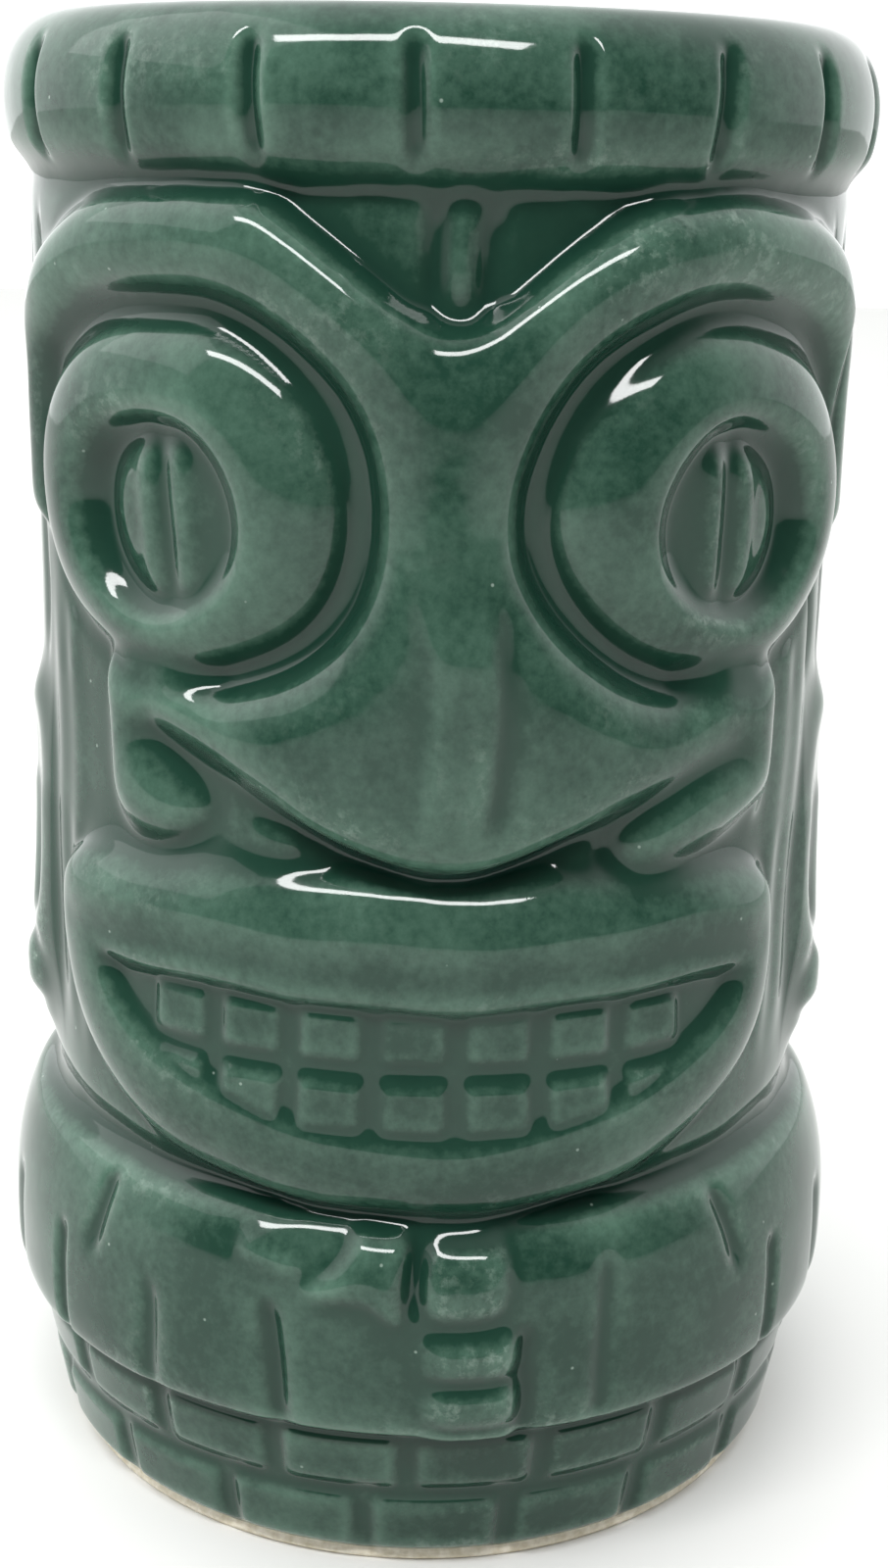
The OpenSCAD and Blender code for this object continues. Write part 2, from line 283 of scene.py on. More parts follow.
def carve(t, z):
    """Height of the carving over the turned profile, how softly it is cut, and the depth inside the mouth."""
    # The master was carved by hand, so nothing on it is quite true
    t = t + 0.5 * np.sin(z / 9 + 0.6) + 0.4 * np.sin(z / 4.1 + np.radians(t) * 3)
    z = z + 0.25 * np.sin(np.radians(t) * 7 + 1.0) + 0.15 * np.sin(np.radians(t) * 17)
    eye_height, ring, cut, hole = eyes(t, z)
    lip_height, opening = lips(t, z)
    mass = brows_nose_cheeks(t, z, ring, cut)
    # The mass lies over the ears and forehead, the eyes are let into it, and the lips lie over its lower edge
    head = highest([mass, ears(t, z)], 0.8) + forehead(t, z) * ease(1.6, 0, mass)
    crease = np.maximum(-2.0 * cut * ease(-CREASE_W, -CREASE_W / 2, ring), mass)
    head = np.where(ring > -CREASE_W, np.where(ring > 0, np.maximum(eye_height, mass), crease), head)
    head = np.where(lip_height > 0, np.maximum(head * (z > 70), lip_height), head)
    shape = np.where(z < BASE_TOP, 0, np.where(z < NECK, belly(t, z), np.where(z < BAND_LOW, head, 0)))
    neck = NECK + 2.4 * ease(15, 60, np.abs(t))
    folds = 0.9 * dent(z - neck, 1.2) + 0.4 * dent(z - BAND_LOW + 0.4, 0.9)
    folds = folds + 0.5 * dent(z - BASE_TOP + 0.3, 0.7)
    # Round the eye holes, the nostrils, the forehead's cuts and the ears, the edges are worn soft
    nostrils = ease(15, 23, np.abs(t - FACE_TURN)) * ease(93, 89, z) * ease(74, 77, z)
    brow_dip = ease(9, 7, np.abs(t - 3.4)) * ease(122, 126, z) * (z < BAND_LOW)
    ear_front = ease(59, 64, np.abs(t)) * ease(74, 69, np.abs(t)) * (z < BAND_LOW)
    hand = ease(24, 14, np.abs(t)) * (z > BASE_TOP) * (z < NECK)
    holes = highest([0.6 * ease(-2, 0.6, hole), 0.8 * nostrils], 0.1)
    softly = highest([holes, 0.25 * brow_dip, 0.5 * ear_front, 0.1 * hand], 0.1)
    # The teeth stop short of the corners of the mouth
    mouth = np.clip(opening - 0.5 - 4 * ease(33, 38, np.abs(t + 1)), -1, 4) * (z > NECK) * (z < 70)
    return shape - folds, np.clip(softly, 0, 1), mouth


def smooth(field, passes):
    """Softens the carving as the slip and the glaze do; columns wrap round the mug."""
    for _ in range(passes):
        field = (np.roll(field, 1, 1) + 2 * field + np.roll(field, -1, 1)) / 4
        field[1:-1] = (field[:-2] + 2 * field[1:-1] + field[2:]) / 4
    return field


# Slip and glaze round every edge a little, and the worn edges a good deal more
relief, softly, mouth_depth = carve(T, Z)
relief = smooth(relief, 7)
softly = smooth(softly, 10)
relief = relief * (1 - softly) + smooth(relief.copy(), 34) * softly
rolled = BAND_R - LIP_ROLL * (1 - np.cos(roll)) - crest
R = smooth(np.where((roll > 0)[:, None], rolled[:, None], turned_profile(Z)), 2)
# The coat's lower edge is rounded, where it was wiped off the clay
R = R + relief * lean_out[:, None] - 0.4 * (1 - pillow(Z - BARE_CLAY, 0.9))
skin = np.stack([R * np.sin(np.radians(T)), -R * np.cos(np.radians(T)), Z], -1) * MM


def node(tree, kind, links=(), **settings):
    """Adds one node, sets it up, and links or sets each of its named or numbered inputs."""
    made = tree.nodes.new(kind)
    for name, value in settings.items():
        setattr(made, name, value)
    for name, value in dict(links).items():
        if isinstance(value, bpy.types.NodeSocket):
            tree.links.new(value, made.inputs[name])
        else:
            made.inputs[name].default_value = value
    return made


def carving_tree(name, sizes, texts=()):
    """An empty Geometry Nodes tree with named inputs, and those inputs."""
    tree = bpy.data.node_groups.new(name, "GeometryNodeTree")
    face = tree.interface
    face.new_socket("Geometry", in_out="OUTPUT", socket_type="NodeSocketGeometry")
    face.new_socket("Geometry", in_out="INPUT", socket_type="NodeSocketGeometry")
    for size in sizes:
        face.new_socket(size, in_out="INPUT", socket_type="NodeSocketFloat")
    for text in texts:
        face.new_socket(text, in_out="INPUT", socket_type="NodeSocketString")
    face.new_socket("Material", in_out="INPUT", socket_type="NodeSocketMaterial")
    return tree, node(tree, "NodeGroupInput").outputs


def find_place(tree):
    """A point's position, height, turn from the front in degrees, and its place across the axis."""
    spot = node(tree, "GeometryNodeInputPosition").outputs[0]
    place = node(tree, "ShaderNodeSeparateXYZ", {0: spot}).outputs
    back = node(tree, "ShaderNodeMath", {0: place[1], 1: -1.0}, operation="MULTIPLY").outputs[0]
    angle = node(tree, "ShaderNodeMath", {0: place[0], 1: back}, operation="ARCTAN2").outputs[0]
    turn = node(tree, "ShaderNodeMath", {0: angle}, operation="DEGREES").outputs[0]
    flat = node(tree, "ShaderNodeCombineXYZ", {0: place[0], 1: place[1], 2: 0.0}).outputs[0]
    return spot, place[2], turn, flat


def from_nearest(tree, turn, first, count, flat):
    """The distance round the surface to the nearest of count equal marks, one of them at the first turn."""
    step = node(tree, "ShaderNodeMath", {0: 360.0, 1: count}, operation="DIVIDE").outputs[0]
    past = node(tree, "ShaderNodeMath", {0: turn, 1: first}, operation="SUBTRACT").outputs[0]
    cell = node(tree, "ShaderNodeMath", {0: past, 1: step}, operation="DIVIDE").outputs[0]
    whole = node(tree, "ShaderNodeMath", {0: cell}, operation="ROUND").outputs[0]
    part = node(tree, "ShaderNodeMath", {0: cell, 1: whole}, operation="SUBTRACT").outputs[0]
    part = node(tree, "ShaderNodeMath", {0: part}, operation="ABSOLUTE").outputs[0]
    away = node(tree, "ShaderNodeMath", {0: part, 1: step}, operation="MULTIPLY").outputs[0]
    away = node(tree, "ShaderNodeMath", {0: away}, operation="RADIANS").outputs[0]
    radius = node(tree, "ShaderNodeVectorMath", {0: flat}, operation="LENGTH").outputs["Value"]
    return node(tree, "ShaderNodeMath", {0: away, 1: radius}, operation="MULTIPLY").outputs[0]


def push_out(tree, into, flat, height):
    """Moves the skin straight out from the axis by a height, and ends the tree."""
    outward = node(tree, "ShaderNodeVectorMath", {0: flat}, operation="NORMALIZE").outputs[0]
    offset = node(tree, "ShaderNodeVectorMath", {0: outward, "Scale": height}, operation="SCALE").outputs[0]
    moved = node(tree, "GeometryNodeSetPosition", {"Geometry": into["Geometry"], "Offset": offset}).outputs[0]
    real = node(tree, "GeometryNodeRealizeInstances", {0: moved}).outputs[0]
    done = node(tree, "GeometryNodeSetMaterial", {"Geometry": real, "Material": into["Material"]}).outputs[0]
    node(tree, "NodeGroupOutput", {0: done})
    return tree


def every(size):
    """The texture scale whose features come round about every size millimetres."""
    return 1 / (size * MM)


# Upright cuts at equal turns round the mug, which wander a few millimetres to either side as they climb
WANDER_SIZE = 26.3
TURN_FADE = 4.0


def cut_tree():
    pattern = ["Count", "First turn", "Wander", "Half width", "Depth"]
    ends = ["Low", "High", "Fade", "From turn", "To turn"]
    tree, into = carving_tree("upright_cuts", pattern + ends)
    spot, height, turn, flat = find_place(tree)
    drift = node(tree, "ShaderNodeTexNoise", {"Vector": spot, "Scale": every(WANDER_SIZE), "Detail": 1.0})
    drift = node(tree, "ShaderNodeMath", {0: drift.outputs[0], 1: 0.5}, operation="SUBTRACT").outputs[0]
    bent = node(tree, "ShaderNodeMath", {0: drift, 1: into["Wander"], 2: turn}, operation="MULTIPLY_ADD")
    away = from_nearest(tree, bent.outputs[0], into["First turn"], into["Count"], flat)
    cut = node(tree, "ShaderNodeMapRange", {0: away, 1: 0.0, 2: into["Half width"], 3: 1.0, 4: 0.0},
               interpolation_type="SMOOTHSTEP").outputs[0]
    # Each cut fades in and out at its two ends, and all of them at the two ends of their stretch of turns
    above = node(tree, "ShaderNodeMath", {0: into["Low"], 1: into["Fade"]}, operation="ADD").outputs[0]
    below = node(tree, "ShaderNodeMath", {0: into["High"], 1: into["Fade"]}, operation="SUBTRACT").outputs[0]
    either = node(tree, "ShaderNodeMath", {0: turn}, operation="ABSOLUTE").outputs[0]
    after = node(tree, "ShaderNodeMath", {0: into["From turn"], 1: TURN_FADE}, operation="ADD").outputs[0]
    before = node(tree, "ShaderNodeMath", {0: into["To turn"], 1: TURN_FADE}, operation="SUBTRACT").outputs[0]
    for value, none, full in (
        (height, into["Low"], above),
        (height, into["High"], below),
        (either, into["From turn"], after),
        (either, into["To turn"], before),
    ):
        share = node(tree, "ShaderNodeMapRange", {0: value, 1: none, 2: full, 3: 0.0, 4: 1.0},
                     interpolation_type="SMOOTHSTEP").outputs[0]
        cut = node(tree, "ShaderNodeMath", {0: cut, 1: share}, operation="MULTIPLY").outputs[0]
    cut = node(tree, "ShaderNodeMath", {0: cut, 1: into["Depth"]}, operation="MULTIPLY").outputs[0]
    inward = node(tree, "ShaderNodeMath", {0: cut, 1: -1.0}, operation="MULTIPLY").outputs[0]
    return push_out(tree, into, flat, inward)


# Raised pads in courses, parted by joints and kept inside a depth that is stored on the skin
def pad_tree():
    sizes = ["Count", "First joint", "Joint", "Rise", "Round", "Low", "Course", "Courses"]
    tree, into = carving_tree("raised_pads", sizes, texts=["Where"])
    spot, height, turn, flat = find_place(tree)
    away = from_nearest(tree, turn, into["First joint"], into["Count"], flat)
    half = node(tree, "ShaderNodeMath", {0: into["Joint"], 1: 0.5}, operation="MULTIPLY").outputs[0]
    across = node(tree, "ShaderNodeMath", {0: away, 1: half}, operation="SUBTRACT").outputs[0]
    # How deep a point lies inside its course, counted up from the lowest
    up = node(tree, "ShaderNodeMath", {0: height, 1: into["Low"]}, operation="SUBTRACT").outputs[0]
    level = node(tree, "ShaderNodeMath", {0: up, 1: into["Course"]}, operation="DIVIDE").outputs[0]
    course = node(tree, "ShaderNodeMath", {0: level}, operation="FLOOR").outputs[0]
    last = node(tree, "ShaderNodeMath", {0: into["Courses"], 1: 1.0}, operation="SUBTRACT").outputs[0]
    course = node(tree, "ShaderNodeClamp", {0: course, 1: 0.0, 2: last}).outputs[0]
    middle = node(tree, "ShaderNodeMath", {0: course, 1: 0.5}, operation="ADD").outputs[0]
    off = node(tree, "ShaderNodeMath", {0: level, 1: middle}, operation="SUBTRACT").outputs[0]
    off = node(tree, "ShaderNodeMath", {0: off}, operation="ABSOLUTE").outputs[0]
    inner = node(tree, "ShaderNodeMath", {0: 0.5, 1: off}, operation="SUBTRACT").outputs[0]
    inner = node(tree, "ShaderNodeMath", {0: inner, 1: into["Course"]}, operation="MULTIPLY").outputs[0]
    inner = node(tree, "ShaderNodeMath", {0: inner, 1: half}, operation="SUBTRACT").outputs[0]
    stored = node(tree, "GeometryNodeInputNamedAttribute", {"Name": into["Where"]}, data_type="FLOAT")
    depth = across
    for limit in (inner, stored.outputs[0]):
        depth = node(tree, "ShaderNodeMath", {0: depth, 1: limit, 2: into["Round"]},
                     operation="SMOOTH_MIN").outputs[0]
    pad = node(tree, "ShaderNodeMapRange", {0: depth, 1: 0.0, 2: into["Round"], 3: 0.0, 4: 1.0},
               interpolation_type="SMOOTHSTEP").outputs[0]
    pad = node(tree, "ShaderNodeMath", {0: pad, 1: into["Rise"]}, operation="MULTIPLY").outputs[0]
    return push_out(tree, into, flat, pad)


def add_carving(piece, tree, **sizes):
    """Puts one Geometry Nodes tree on a piece, with each size set through its socket's identifier."""
    modifier = piece.modifiers.new(tree.name, "NODES")
    modifier.node_group = tree
    for item in tree.interface.items_tree:
        name = item.name.lower().replace(" ", "_")
        if item.in_out == "INPUT" and name in sizes:
            modifier[item.identifier] = sizes[name]


index = np.arange(T.size).reshape(T.shape)
right = np.roll(index, -1, 1)
quads = np.stack([index[:-1], right[:-1], right[1:], index[1:]], -1).reshape(-1, 4)
mesh = bpy.data.meshes.new("carved_skin")
mesh.from_pydata(skin.reshape(-1, 3), [], quads)
for name, field in (("mouth", mouth_depth * MM), ("everywhere", np.ones_like(Z))):
    mesh.attributes.new(name, "FLOAT", "POINT").data.foreach_set("value", field.ravel().astype(np.float32))
blank = bpy.data.objects.new("carved_skin", mesh)
bpy.context.collection.objects.link(blank)
cuts, pads = cut_tree(), pad_tree()

# Stretches of turns count both ways from the front, so one from below 0 to beyond 180 goes all the way round
ALL_ROUND = {"from_turn": -9.0, "to_turn": 400.0}
BEHIND = {"from_turn": 90.0, "to_turn": 400.0}

# The rim band's notches, narrow and deep, which stop short of the lip
add_carving(blank, cuts, count=19.0, first_turn=-2.8, wander=4.0, half_width=1.7 * MM, depth=1.15 * MM,
            low=(BAND_LOW + 0.6) * MM, high=153.0 * MM, fade=3.0 * MM, **ALL_ROUND)
# Wood grain behind the head, broad and then fine
add_carving(blank, cuts, count=22.0, first_turn=2.0, wander=14.0, half_width=1.9 * MM, depth=0.9 * MM,
            low=43.5 * MM, high=139.0 * MM, fade=6.0 * MM, **BEHIND)
add_carving(blank, cuts, count=37.0, first_turn=5.0, wander=20.0, half_width=0.9 * MM, depth=0.4 * MM,
            low=50.0 * MM, high=136.0 * MM, fade=12.0 * MM, **BEHIND)
# Strands of hair at the temples
add_carving(blank, cuts, count=40.0, first_turn=3.0, wander=12.0, half_width=1.4 * MM, depth=0.6 * MM,
            low=89.0 * MM, high=138.5 * MM, fade=7.0 * MM, from_turn=64.0, to_turn=93.0)
# Planks round the sides and back of the belly
add_carving(blank, cuts, count=20.0, first_turn=0.0, wander=4.0, half_width=1.5 * MM, depth=0.8 * MM,
            low=17.5 * MM, high=33.0 * MM, fade=3.0 * MM, from_turn=50.0, to_turn=400.0)
# Two rows of teeth, only where the mouth is open
add_carving(blank, pads, count=35.0, first_joint=4.15, joint=1.0 * MM, rise=0.6 * MM, round=1.2 * MM,
            low=50.8 * MM, course=6.9 * MM, courses=2.0, where="mouth")
# Two courses of bricks round the base, the upper one with shorter bricks
for count, first_joint, low, course in ((18.0, -7.0, 1.2, 8.7), (20.0, -1.0, 9.9, 8.2)):
    add_carving(blank, pads, count=count, first_joint=first_joint, joint=0.9 * MM, rise=0.7 * MM,
                round=1.4 * MM, low=low * MM, course=course * MM, courses=1.0, where="everywhere")
carved = bpy.data.meshes.new_from_object(blank.evaluated_get(bpy.context.evaluated_depsgraph_get()))
bpy.data.objects.remove(blank)
skin = np.empty(skin.size)
carved.vertices.foreach_get("co", skin)
skin = skin.reshape(len(heights), len(turns), 3)
out_r = smooth(np.hypot(skin[..., 0], skin[..., 1]), 2)
skin[..., 0] = out_r * np.sin(np.radians(T))
skin[..., 1] = -out_r * np.cos(np.radians(T))

# Glaze runs off the ridges and pools in the cuts, and the difference from a softened copy of the surface says
# where. Pool is about millimetres, above 0 in a hollow and below 0 on a ridge.
fine_pool = smooth(out_r.copy(), 12) - out_r
wide_pool = smooth(out_r.copy(), 120) - out_r
pool = (fine_pool * 2.4 + wide_pool * 0.2) / MM


# ---------------------------------------------------------------- Coat of green glaze
# A glossy celadon-green glaze, half a millimetre thick, dipped over the whole outside down to the bare foot.
# It is one coat, drawn as closed patches that meet where the carving changes.
def linear(code):
    """An sRGB hex colour as linear RGBA."""
    parts = [int(code[i:i + 2], 16) / 255 for i in (1, 3, 5)]
    return [c / 12.92 if c < 0.04045 else ((c + 0.055) / 1.055) ** 2.4 for c in parts] + [1.0]


def glaze(name, pooled, body, broken):
    """Celadon-green stoneware glaze, fired to a gloss: dark where it pools, pale where it breaks on an edge."""
    material = bpy.data.materials.new(name)
    material.use_nodes = True
    tree = material.node_tree
    shader = tree.nodes["Principled BSDF"]
    shader.inputs["Roughness"].default_value = 0.07
    shader.inputs["IOR"].default_value = 1.42
    place = node(tree, "ShaderNodeTexCoord").outputs["Object"]
    pool = node(tree, "ShaderNodeAttribute", attribute_name="pool").outputs["Fac"]
    # Clouds, mottling and flecks about 29, 8 and 1 mm apart, and more of each where the glaze is thin
    thin = node(tree, "ShaderNodeMapRange", {0: pool, 1: -0.7, 2: 0.5, 3: 1.0, 4: 0.3}).outputs[0]
    depth = pool
    for size, detail, amount in ((28.6, 2.0, 0.6), (8.33, 5.0, 0.4), (1.11, 3.0, 0.3)):
        cloud = node(tree, "ShaderNodeTexNoise", {
            "Vector": place, "Scale": every(size), "Detail": detail, "Roughness": 0.65}).outputs[0]
        cloud = node(tree, "ShaderNodeMapRange", {0: cloud, 1: 0.25, 2: 0.75, 3: -amount, 4: amount})
        depth = node(tree, "ShaderNodeMath", {0: cloud.outputs[0], 1: thin, 2: depth},
                     operation="MULTIPLY_ADD").outputs[0]
    share = node(tree, "ShaderNodeMapRange", {0: depth, 1: -1.0, 2: 1.6, 3: 0.0, 4: 1.0}).outputs[0]
    ramp = node(tree, "ShaderNodeValToRGB", {0: share})
    stops = ramp.color_ramp.elements
    stops[0].position, stops[0].color = 0.0, linear(broken)
    stops[1].position, stops[1].color = 1.0, linear(pooled)
    stops.new(0.42).color = linear(body)
    # Pinholes about 0.3 mm wide and 5 mm apart, each a pale dot in a dimple
    speck = node(tree, "ShaderNodeTexVoronoi", {"Vector": place, "Scale": every(5.26)}).outputs["Distance"]
    speck = node(tree, "ShaderNodeMapRange", {0: speck, 1: 0.02, 2: 0.04, 3: 1.0, 4: 0.0}).outputs[0]
    # On the ridges it has curdled into pale flecks 1.5 mm apart, in patches 21 mm apart
    curd = node(tree, "ShaderNodeTexNoise", {
        "Vector": place, "Scale": every(1.54), "Detail": 4.0, "Roughness": 0.7}).outputs[0]
    curd = node(tree, "ShaderNodeMapRange", {0: curd, 1: 0.5, 2: 0.66, 3: 0.0, 4: 1.0}).outputs[0]
    patchy = node(tree, "ShaderNodeTexNoise", {"Vector": place, "Scale": every(20.8), "Detail": 2.0})
    patchy = node(tree, "ShaderNodeMapRange", {0: patchy.outputs[0], 1: 0.5, 2: 0.66, 3: 0.0, 4: 0.3}).outputs[0]
    ridge = node(tree, "ShaderNodeMapRange", {0: pool, 1: -0.45, 2: -0.05, 3: 1.0, 4: 0.0}).outputs[0]
    curd = node(tree, "ShaderNodeMath", {0: curd, 1: patchy}, operation="MULTIPLY").outputs[0]
    curd = node(tree, "ShaderNodeMath", {0: curd, 1: ridge}, operation="MULTIPLY").outputs[0]
    pale = node(tree, "ShaderNodeMath", {0: speck, 1: 0.5, 2: curd}, operation="MULTIPLY_ADD").outputs[0]
    mixed = node(tree, "ShaderNodeMix", {0: pale, 6: ramp.outputs[0], 7: linear("#9db0a4")}, data_type="RGBA")
    tree.links.new(mixed.outputs[2], shader.inputs["Base Color"])
    # The surface rises and falls very slightly every 6 mm
    ripple = node(tree, "ShaderNodeTexNoise", {"Vector": place, "Scale": every(6.25), "Detail": 2.0})
    height = node(tree, "ShaderNodeMath", {0: speck, 1: -0.6, 2: ripple.outputs[0]}, operation="MULTIPLY_ADD")
    bump = node(tree, "ShaderNodeBump", {"Height": height.outputs[0], "Distance": 0.1 * MM, "Strength": 0.5})
    tree.links.new(bump.outputs[0], shader.inputs["Normal"])
    return material


green_glaze = glaze("green_celadon_glaze", "#09271f", "#1d3b2f", "#4f6d5e")


def keep(piece, slot, *nodes):
    """Puts a finished piece in the scene, with its body and the CAD nodes it replaces; its slot argument is not
    used.
    """
    bpy.context.collection.objects.link(piece)
    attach(piece, "root")
    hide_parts(*nodes)


# The skin against the clay has every fourth row and column, and stays under the lowest carving near each one
COARSE = 4
inner_r = out_r.copy()
for _ in range(COARSE):
    inner_r = np.minimum(inner_r, np.minimum(np.roll(inner_r, 1, 1), np.roll(inner_r, -1, 1)))
    lower, upper = inner_r[:UPRIGHT_ROWS - 1], inner_r[2:UPRIGHT_ROWS + 1]
    inner_r[1:UPRIGHT_ROWS] = np.minimum(inner_r[1:UPRIGHT_ROWS], np.minimum(lower, upper))
inner_r = inner_r - COAT * MM * lean_out[:, None]
inner_z = skin[..., 2] - COAT * MM * lean_up[:, None]
inside = np.stack([inner_r * np.sin(np.radians(T)), -inner_r * np.cos(np.radians(T)), inner_z], -1)
out_normals = np.cross(np.roll(skin, -1, 1) - np.roll(skin, 1, 1), np.gradient(skin, axis=0))
out_normals /= np.linalg.norm(out_normals, axis=-1, keepdims=True)


def coat_piece(name, row_from, row_to, column_from, column_to):
    """One closed patch of the coat: the carved skin outside, the coarse skin inside, and walls between."""
    whole_turn = column_to - column_from == len(turns)
    columns = np.arange(column_from, column_to + (not whole_turn)) % len(turns)
    rows = np.arange(row_from, row_to + 1)
    fine_at = np.ix_(rows, columns)
    coarse_at = np.ix_(rows[::COARSE], columns[::COARSE])
    outer, inner = skin[fine_at].reshape(-1, 3), inside[coarse_at].reshape(-1, 3)
    out_at = np.arange(len(outer)).reshape(len(rows), -1)
    in_at = len(outer) + np.arange(len(inner)).reshape(len(rows[::COARSE]), -1)
    if whole_turn:
        out_at, in_at = np.hstack([out_at, out_at[:, :1]]), np.hstack([in_at, in_at[:, :1]])
    faces = np.stack([out_at[:-1, :-1], out_at[:-1, 1:], out_at[1:, 1:], out_at[1:, :-1]], -1).reshape(-1, 4)
    facing_in = np.stack([in_at[:-1, :-1], in_at[1:, :-1], in_at[1:, 1:], in_at[:-1, 1:]], -1).reshape(-1, 4)
    faces = faces.tolist() + facing_in.tolist()
    edges = [(out_at[0], in_at[0]), (out_at[-1, ::-1], in_at[-1, ::-1])]
    if not whole_turn:
        edges += [(out_at[:, -1], in_at[:, -1]), (out_at[::-1, 0], in_at[::-1, 0])]
    # A wall has one triangle on each coarse step, between fans to the fine points on either side of its middle
    half = COARSE // 2
    for edge_out, edge_in in edges:
        for i, (a, b) in enumerate(zip(edge_in[:-1], edge_in[1:])):
            fine = edge_out[i * COARSE:(i + 1) * COARSE + 1]
            faces += [(fine[s + 1], fine[s], a) for s in range(half)]
            faces.append((fine[half], a, b))
            faces += [(fine[s + 1], fine[s], b) for s in range(half, COARSE)]
    mesh = bpy.data.meshes.new(name)
    mesh.from_pydata(np.concatenate([outer, inner]), [], faces)
    values = np.concatenate([pool[fine_at].ravel(), np.zeros(len(inner))]).astype(np.float32)
    mesh.attributes.new("pool", "FLOAT", "POINT").data.foreach_set("value", values)
    mesh.shade_smooth()
    # Both sides of a seam take the whole skin's normals, so that no line shows where two patches meet
    normals = np.concatenate([out_normals[fine_at].reshape(-1, 3), -out_normals[coarse_at].reshape(-1, 3)])
    mesh.normals_split_custom_set_from_vertices(normals)
    mesh.materials.append(green_glaze)
    return bpy.data.objects.new(name, mesh)


def row_at(z):
    """The nearest row to a height whose number the coarse skin shares."""
    return int(round(np.argmin(np.abs(heights - z)) / COARSE)) * COARSE


OVER_LIPS = 77
base_row, neck_row, lip_row = row_at(BASE_TOP - 0.4), row_at(NECK), row_at(OVER_LIPS)
band_row, last_row = row_at(BAND_LOW), len(heights) - 1
full = len(turns)
for name, low, high, start, end in (
    ("brick_base_glaze", 0, base_row, 0, full),
    ("belly_glaze", base_row, neck_row, 0, full),
    ("mouth_glaze", neck_row, lip_row, 0, FRONT_COLUMNS),
    ("mask_glaze", lip_row, band_row, 0, FRONT_COLUMNS),
    ("back_glaze", neck_row, band_row, FRONT_COLUMNS, full),
    ("rim_band_glaze", band_row, last_row, 0, full),
):
    keep(coat_piece(name, low, high, start, end), "outer_glaze", "outer_glaze")


# ---------------------------------------------------------------- Clay body
# Pale stoneware, slip cast in one piece in a plaster mould.
# Its outside is hidden under the coat, except for the ring it stands on, which is wiped bare.
def bare_clay():
    """Fired, unglazed cream stoneware: matt, and faintly speckled by its grog about every millimetre."""
    material = bpy.data.materials.new("bare_stoneware")
    material.use_nodes = True
    tree = material.node_tree
    shader = tree.nodes["Principled BSDF"]
    shader.inputs["Roughness"].default_value = 0.85
    place = node(tree, "ShaderNodeTexCoord").outputs["Object"]
    grain = node(tree, "ShaderNodeTexNoise", {"Vector": place, "Scale": every(1.11), "Detail": 6.0})
    ramp = node(tree, "ShaderNodeValToRGB", {0: grain.outputs[0]})
    stops = ramp.color_ramp.elements
    stops[0].position, stops[0].color = 0.35, linear("#d2c8b0")
    stops[1].position, stops[1].color = 0.65, linear("#f0e9d8")
    tree.links.new(ramp.outputs[0], shader.inputs["Base Color"])
    bump = node(tree, "ShaderNodeBump", {"Height": grain.outputs[0], "Distance": 0.15 * MM, "Strength": 0.6})
    tree.links.new(bump.outputs[0], shader.inputs["Normal"])
    return material


def arc(across, up, middle_r, middle_z, start, end, steps):
    """Points along an arc of the turned outline, from its two radii and its middle, in mm and degrees."""
    return [(middle_r + across * cos(radians(a)), middle_z + up * sin(radians(a)))
            for a in np.linspace(start, end, steps)]


# The cup's outline follows the walls of the CAD cup: a straight belly, a step in at the neck, a rolled mouth
WALL = 4.5
CLAY_HEAD_R, CLAY_BELLY_R = 41.8, 47.0
CLAY_NECK, CLAY_BASE_TOP = 41, 18
FLOOR_Z, FLOOR_CORNER = 7.5, 8.0
THROAT_R, MOUTH_H = 36.3, 3.0
CREST_IN_R, CREST_Z = 37.8, 154.5


def cup_radius(z):
    """Radius of the clay's inside: one wall's thickness, and the depth of the carving, within the outside."""
    deep = 1.0 + WALL
    if z < CLAY_BASE_TOP:
        return FOOT_R + 3.4 * z / CLAY_BASE_TOP - deep
    if z < CLAY_NECK:
        return CLAY_HEAD_R + (CLAY_BELLY_R - CLAY_HEAD_R) * float(ease(CLAY_NECK, 29, z)) - deep
    return THROAT_R + (CLAY_HEAD_R - deep - THROAT_R) * float(ease(136, 124, z))


def cup_outline(coat):
    """The cup from the middle of its floor to the lip, a coat's thickness inside the clay."""
    corner_z = FLOOR_Z + FLOOR_CORNER
    corner_r = cup_radius(corner_z) - FLOOR_CORNER
    round_r = FLOOR_CORNER - coat
    points = [(r, FLOOR_Z + coat) for r in np.linspace(0, corner_r, 12)[:-1]]
    points += arc(round_r, round_r, corner_r, corner_z, -90, 0, 13)[:-1]
    for z in np.linspace(corner_z, CREST_Z - MOUTH_H, 140)[:-1]:
        # The inside swells behind the rim band
        wider = 2.5 * float(ease(139, 145, z)) * float(ease(151.5, 146, z))
        points.append((cup_radius(z) + wider - coat, z))
    lip = CREST_IN_R - THROAT_R
    return points + arc(lip + coat, MOUTH_H + coat, CREST_IN_R, CREST_Z - MOUTH_H, 180, 90, 10)


def turned_rings(outline, at):
    """Rings of points for an outline in millimetres, at the given turns."""
    r, z = np.array(outline).T * MM
    a = np.radians(at)
    return np.stack([np.outer(r, np.sin(a)), -np.outer(r, np.cos(a)), np.outer(z, np.ones_like(a))], -1)


